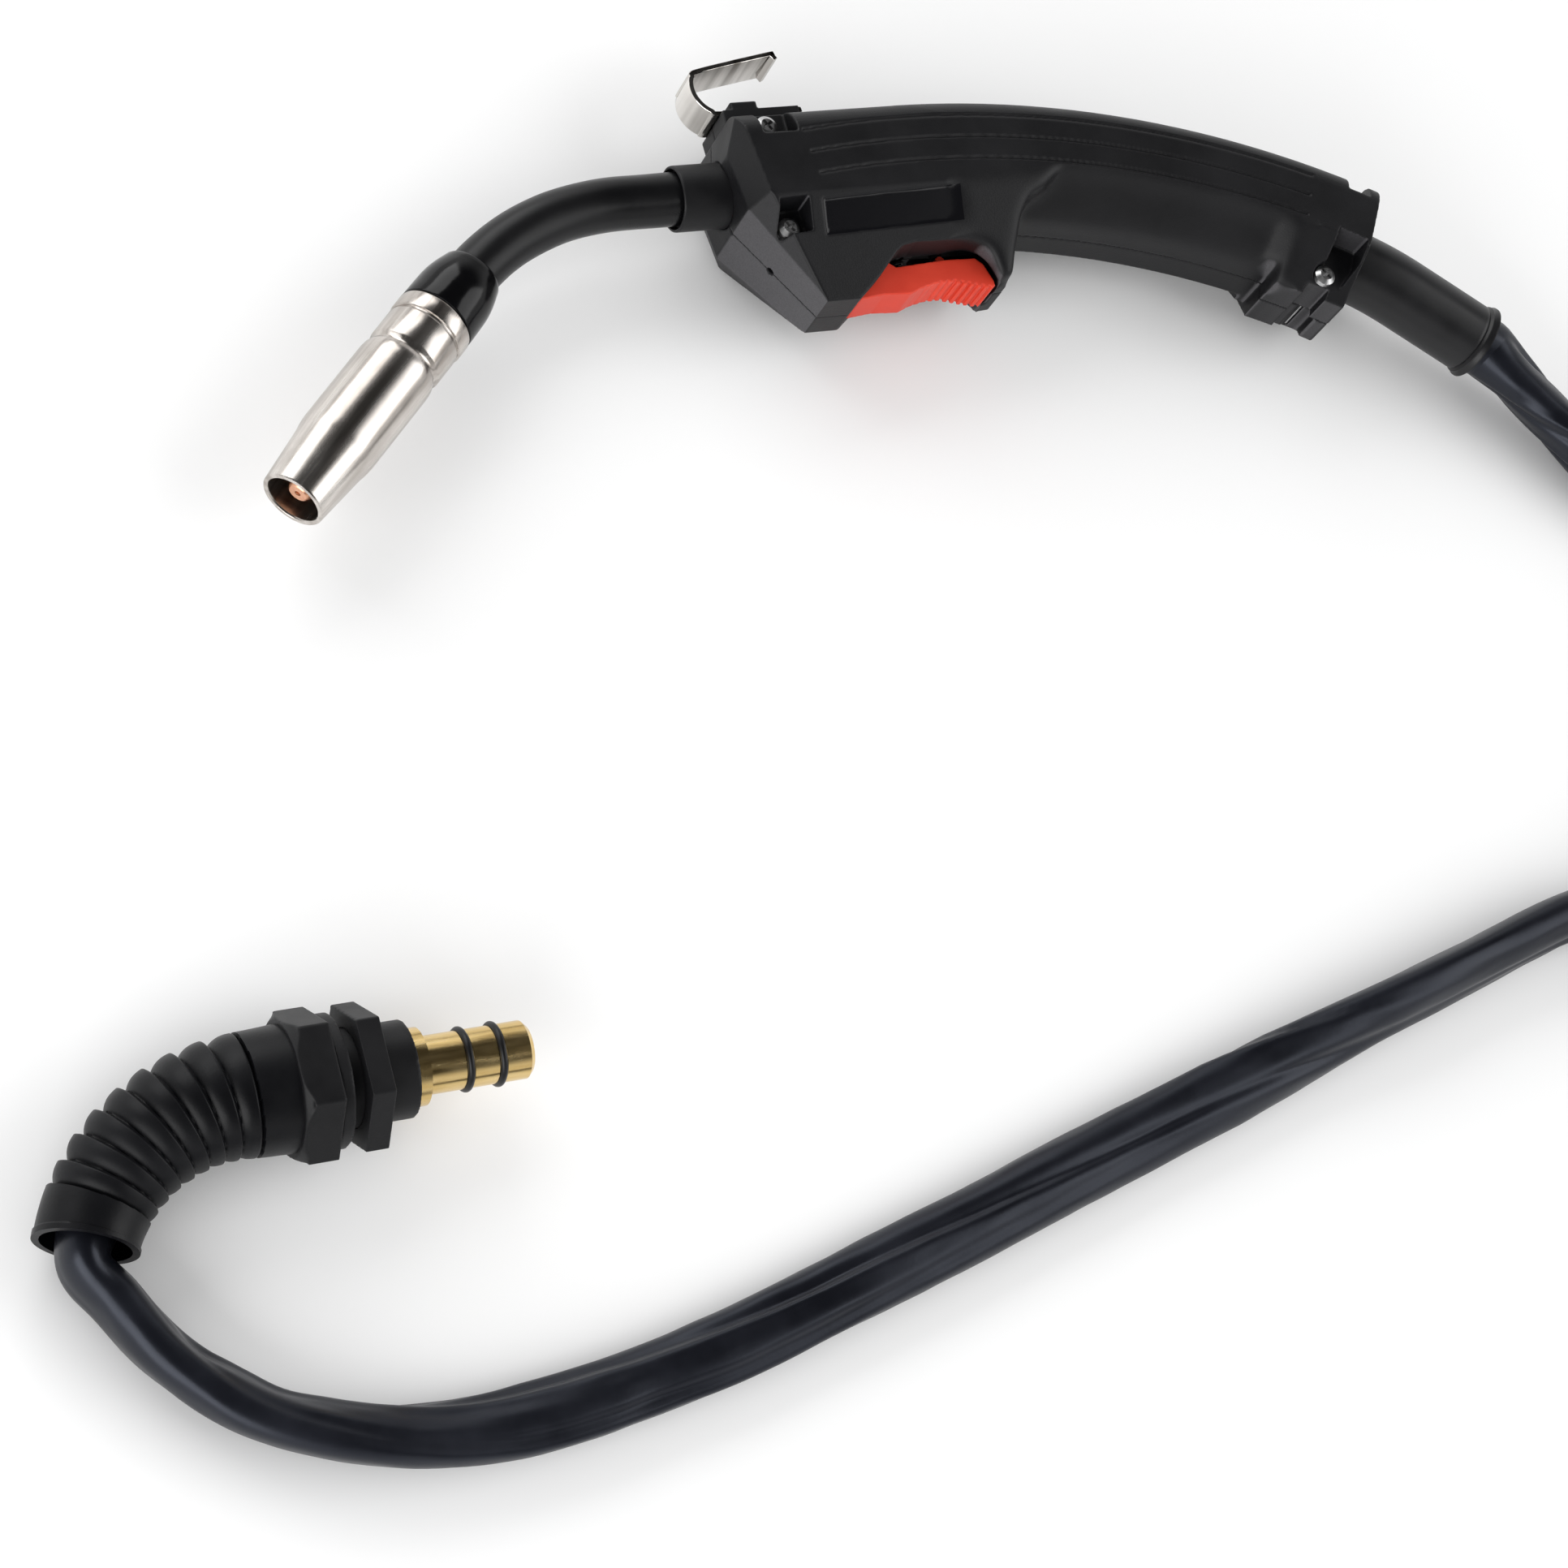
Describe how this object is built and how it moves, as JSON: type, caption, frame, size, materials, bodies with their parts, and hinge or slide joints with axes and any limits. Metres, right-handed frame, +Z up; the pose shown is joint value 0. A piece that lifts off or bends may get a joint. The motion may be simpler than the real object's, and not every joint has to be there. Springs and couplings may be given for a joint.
{
  "type": "mig welding torch",
  "caption": "MIG welding torch with a bent neck, slide-off gas nozzle, curved handle with a sprung trigger and hanging hook, and a sheathed lead ending in a feeder gland and brass inlet.",
  "frame": {"origin": "the flat side of the handle that the torch lies on, under the front of the grip, at floor level", "axes": "+X back along the torch from the nozzle end towards the cable end, +Y to the side of the hanging hook, +Z up from the floor across the handle's width"},
  "size_m": [0.6144, 0.3328, 0.0364],
  "materials": {
    "nickel_plate": "bright nickel plate on brass, faintly brushed round",
    "copper": "bare copper alloy",
    "brass": "machined",
    "steel": "plain",
    "bright_steel": "bright plated strip steel",
    "gloss_black": "glossy",
    "neck_black": "semi-gloss sleeve",
    "matte_black": "fine matte",
    "handle_black": "moulded fine texture",
    "cable_black": "soft",
    "trigger_red": "ribbed press face",
    "plunger_red": "plain",
    "wire_red": "insulation",
    "sleeve_black": "smooth satin",
    "sheath_black": "soft creased sheath",
    "boot_black": "ribbed, satin",
    "tie_black": "hook and loop strap",
    "seal_black": "smooth"
  },
  "bodies": {
    "torch": {"contact_tip": "copper", "tip_holder": "brass", "nozzle_spring": "steel", "insulator_cap": "gloss_black", "neck_tube": "brass", "neck_sleeve": "neck_black", "wire_liner": "steel", "neck_collar": "matte_black", "neck_nut": "brass", "cable_block": "brass", "crimp_ferrule": "steel", "core_cable": "cable_black", "near_shell": "handle_black", "far_shell": "handle_black", "shell_screws": "steel", "hanging_hook": "bright_steel", "trigger_pin": "steel", "trigger_spring": "steel", "microswitch": "matte_black", "switch_wires": "wire_red", "rear_sleeve": "sleeve_black", "sheath_clamp": "steel", "lead_front_run": "sheath_black", "lead_coil": "sheath_black", "coil_ties": "tie_black", "lead_rear_run": "sheath_black", "lead_boot": "boot_black", "gland_nut": "matte_black", "gland_body": "matte_black", "lock_nut": "matte_black", "inlet_spigot": "brass", "inlet_seals": "seal_black"},
    "nozzle": {"gas_nozzle": "nickel_plate"},
    "trigger": {"trigger": "trigger_red"},
    "plunger": {"switch_plunger": "plunger_red"}
  },
  "joints": [
    {"name": "nozzle_slide", "type": "slide", "parent": "torch", "child": "nozzle", "axis": [-0.7314, -0.682, 0], "range_m": [0, 0.06]},
    {"name": "trigger_press", "type": "hinge", "parent": "torch", "child": "trigger", "pos_m": [-0.05, -0.0236, 0.018], "axis": [0, 0, 1], "range_deg": [0, 5], "stiffness_Nm_per_rad": 0.15, "springref_deg": -17.19, "deforming": ["trigger_spring"]},
    {"name": "plunger_press", "type": "slide", "parent": "torch", "child": "plunger", "axis": [0, 1, 0], "range_m": [0, 0.0018]}
  ],
  "couplings": [
    {"joint": "plunger_press", "follows": "trigger_press", "m_per_rad": 0.02}
  ]
}
